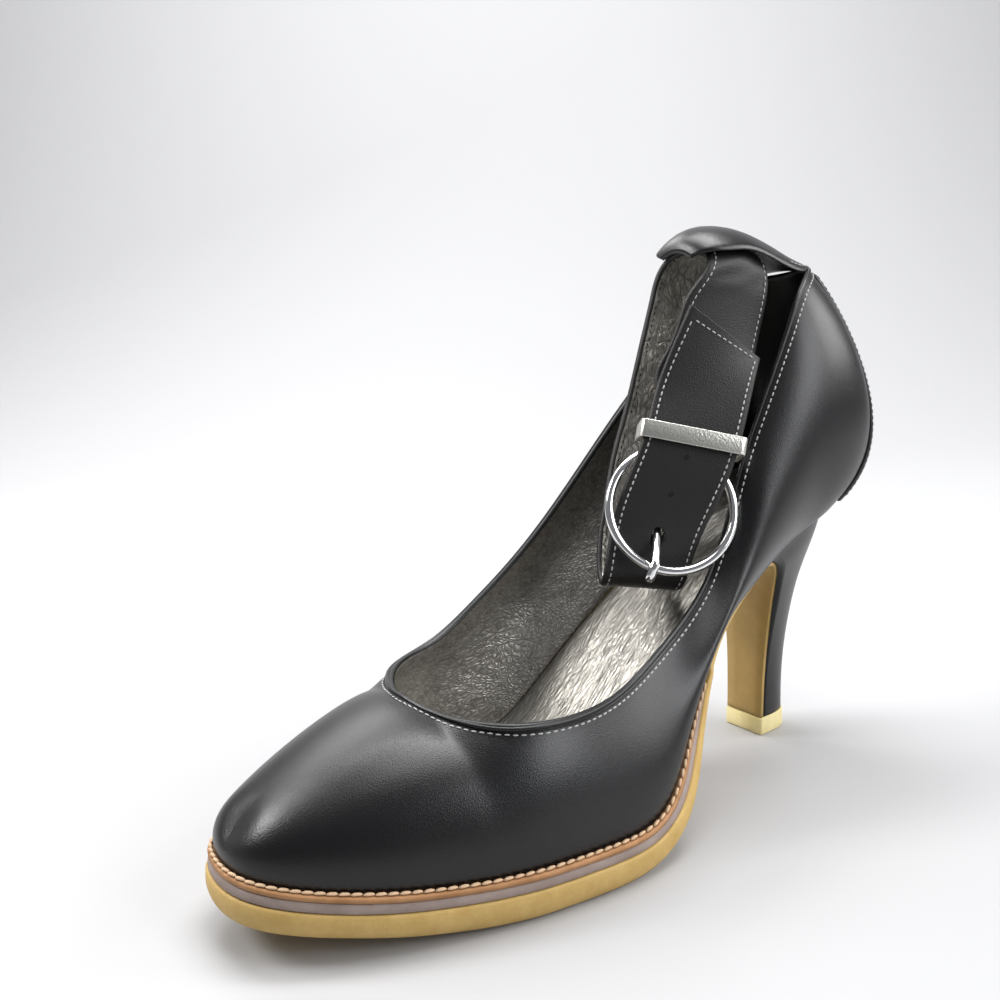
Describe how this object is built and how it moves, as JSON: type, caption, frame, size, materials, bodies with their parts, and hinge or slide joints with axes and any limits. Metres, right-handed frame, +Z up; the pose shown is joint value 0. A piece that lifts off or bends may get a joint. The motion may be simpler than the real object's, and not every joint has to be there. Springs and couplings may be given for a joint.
{
  "type": "ankle strap pump",
  "caption": "High-heeled left pump with a platform forefoot, open arch, raised back, slack ankle strap, round ring buckle and flat metal keeper; hollow and open at the collar.",
  "frame": {"origin": "centre of the heel tip's floor face; the floor is z = 0", "axes": "+X towards the toe, +Y to the wearer's left (the buckle side), +Z up"},
  "size_m": [0.2266, 0.083, 0.1701],
  "materials": {
    "black_leather": "satin smooth leather",
    "pewter_lining": "crinkled metallic leather",
    "tan_welt": "matt",
    "grey_midsole": "matt",
    "ochre_sole": "mottled crepe",
    "heel_cover": "satin smooth leather",
    "ochre_breast": "smooth",
    "pale_lift": "matt",
    "strap_leather": "satin, lined with metallic leather",
    "bright_metal": "polished",
    "pale_metal": "finely hammered"
  },
  "bodies": {
    "root": {"upper": "black_leather", "counter": "black_leather", "back_tongue": "black_leather", "insole": "pewter_lining", "welt": "tan_welt", "midsole": "grey_midsole", "outsole": "ochre_sole", "heel": "heel_cover", "heel_breast": "ochre_breast", "top_lift": "pale_lift", "ankle_strap": "strap_leather", "buckle_ring": "bright_metal", "buckle_prong": "bright_metal", "keeper": "pale_metal"}
  },
  "joints": []
}
